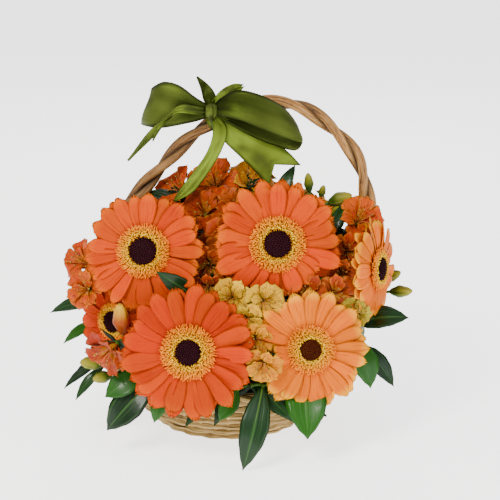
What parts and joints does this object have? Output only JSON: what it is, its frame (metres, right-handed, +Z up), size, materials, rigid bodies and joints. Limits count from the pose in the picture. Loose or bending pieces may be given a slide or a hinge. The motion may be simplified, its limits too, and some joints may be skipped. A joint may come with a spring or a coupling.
{
  "type": "flower basket arrangement",
  "caption": "Shallow woven basket with a tall twisted arch handle and a satin bow, filled with orange daisy-like blooms, small trumpet blooms, buds and glossy leaves.",
  "frame": {"origin": "centre of the basket's flat underside", "axes": "+Z up, +X to the right of the front, +Y away from the front, where the large blooms face"},
  "size_m": [0.3041, 0.2706, 0.2984],
  "materials": {
    "basket": "matt",
    "handle": "satin",
    "liner": "matt",
    "foam": "matt",
    "ribbon": "satin",
    "gerbera_petals": "satin",
    "gerbera_ring": "matt",
    "gerbera_eye": "matt",
    "gerbera_stem": "satin",
    "bloom_orange": "satin",
    "bloom_gold": "satin",
    "bloom_rust": "satin",
    "bloom_bronze": "satin",
    "bloom_yellow": "satin",
    "bloom_green": "satin",
    "leaf": "gloss"
  },
  "bodies": {
    "root": {"alstroemeria_back_left": "bloom_bronze", "alstroemeria_back_right": "bloom_yellow", "alstroemeria_bronze": "bloom_bronze", "alstroemeria_left_orange": "bloom_orange", "alstroemeria_left_red": "bloom_rust", "alstroemeria_low_gold": "bloom_gold", "alstroemeria_right_bronze": "bloom_bronze", "alstroemeria_right_green": "bloom_green", "alstroemeria_right_orange": "bloom_orange", "alstroemeria_rust": "bloom_rust", "alstroemeria_top_gold": "bloom_gold", "alstroemeria_top_orange": "bloom_orange", "alstroemeria_yellow": "bloom_yellow", "basket_border": "basket", "basket_bowl": "basket", "basket_handle": "handle", "bud_spray_left": "bloom_green", "bud_spray_top_right": "bloom_green", "floral_foam": "foam", "gerbera_1_eye": "gerbera_eye", "gerbera_1_petals": "gerbera_petals", "gerbera_1_ring": "gerbera_ring", "gerbera_1_stem": "gerbera_stem", "gerbera_2_eye": "gerbera_eye", "gerbera_2_petals": "gerbera_petals", "gerbera_2_ring": "gerbera_ring", "gerbera_2_stem": "gerbera_stem", "gerbera_3_eye": "gerbera_eye", "gerbera_3_petals": "gerbera_petals", "gerbera_3_ring": "gerbera_ring", "gerbera_3_stem": "gerbera_stem", "gerbera_4_eye": "gerbera_eye", "gerbera_4_petals": "gerbera_petals", "gerbera_4_ring": "gerbera_ring", "gerbera_4_stem": "gerbera_stem", "gerbera_5_eye": "gerbera_eye", "gerbera_5_petals": "gerbera_petals", "gerbera_5_ring": "gerbera_ring", "gerbera_5_stem": "gerbera_stem", "gerbera_6_eye": "gerbera_eye", "gerbera_6_petals": "gerbera_petals", "gerbera_6_ring": "gerbera_ring", "gerbera_6_stem": "gerbera_stem", "gerbera_7_eye": "gerbera_eye", "gerbera_7_petals": "gerbera_petals", "gerbera_7_ring": "gerbera_ring", "gerbera_7_stem": "gerbera_stem", "leaf_behind": "leaf", "leaf_between": "leaf", "leaves_back": "leaf", "leaves_back_left": "leaf", "leaves_back_right": "leaf", "leaves_front": "leaf", "leaves_front_left": "leaf", "leaves_front_right": "leaf", "leaves_left": "leaf", "leaves_left_low": "leaf", "leaves_right": "leaf", "liner_bowl": "liner", "ribbon_bow": "ribbon"}
  },
  "joints": []
}
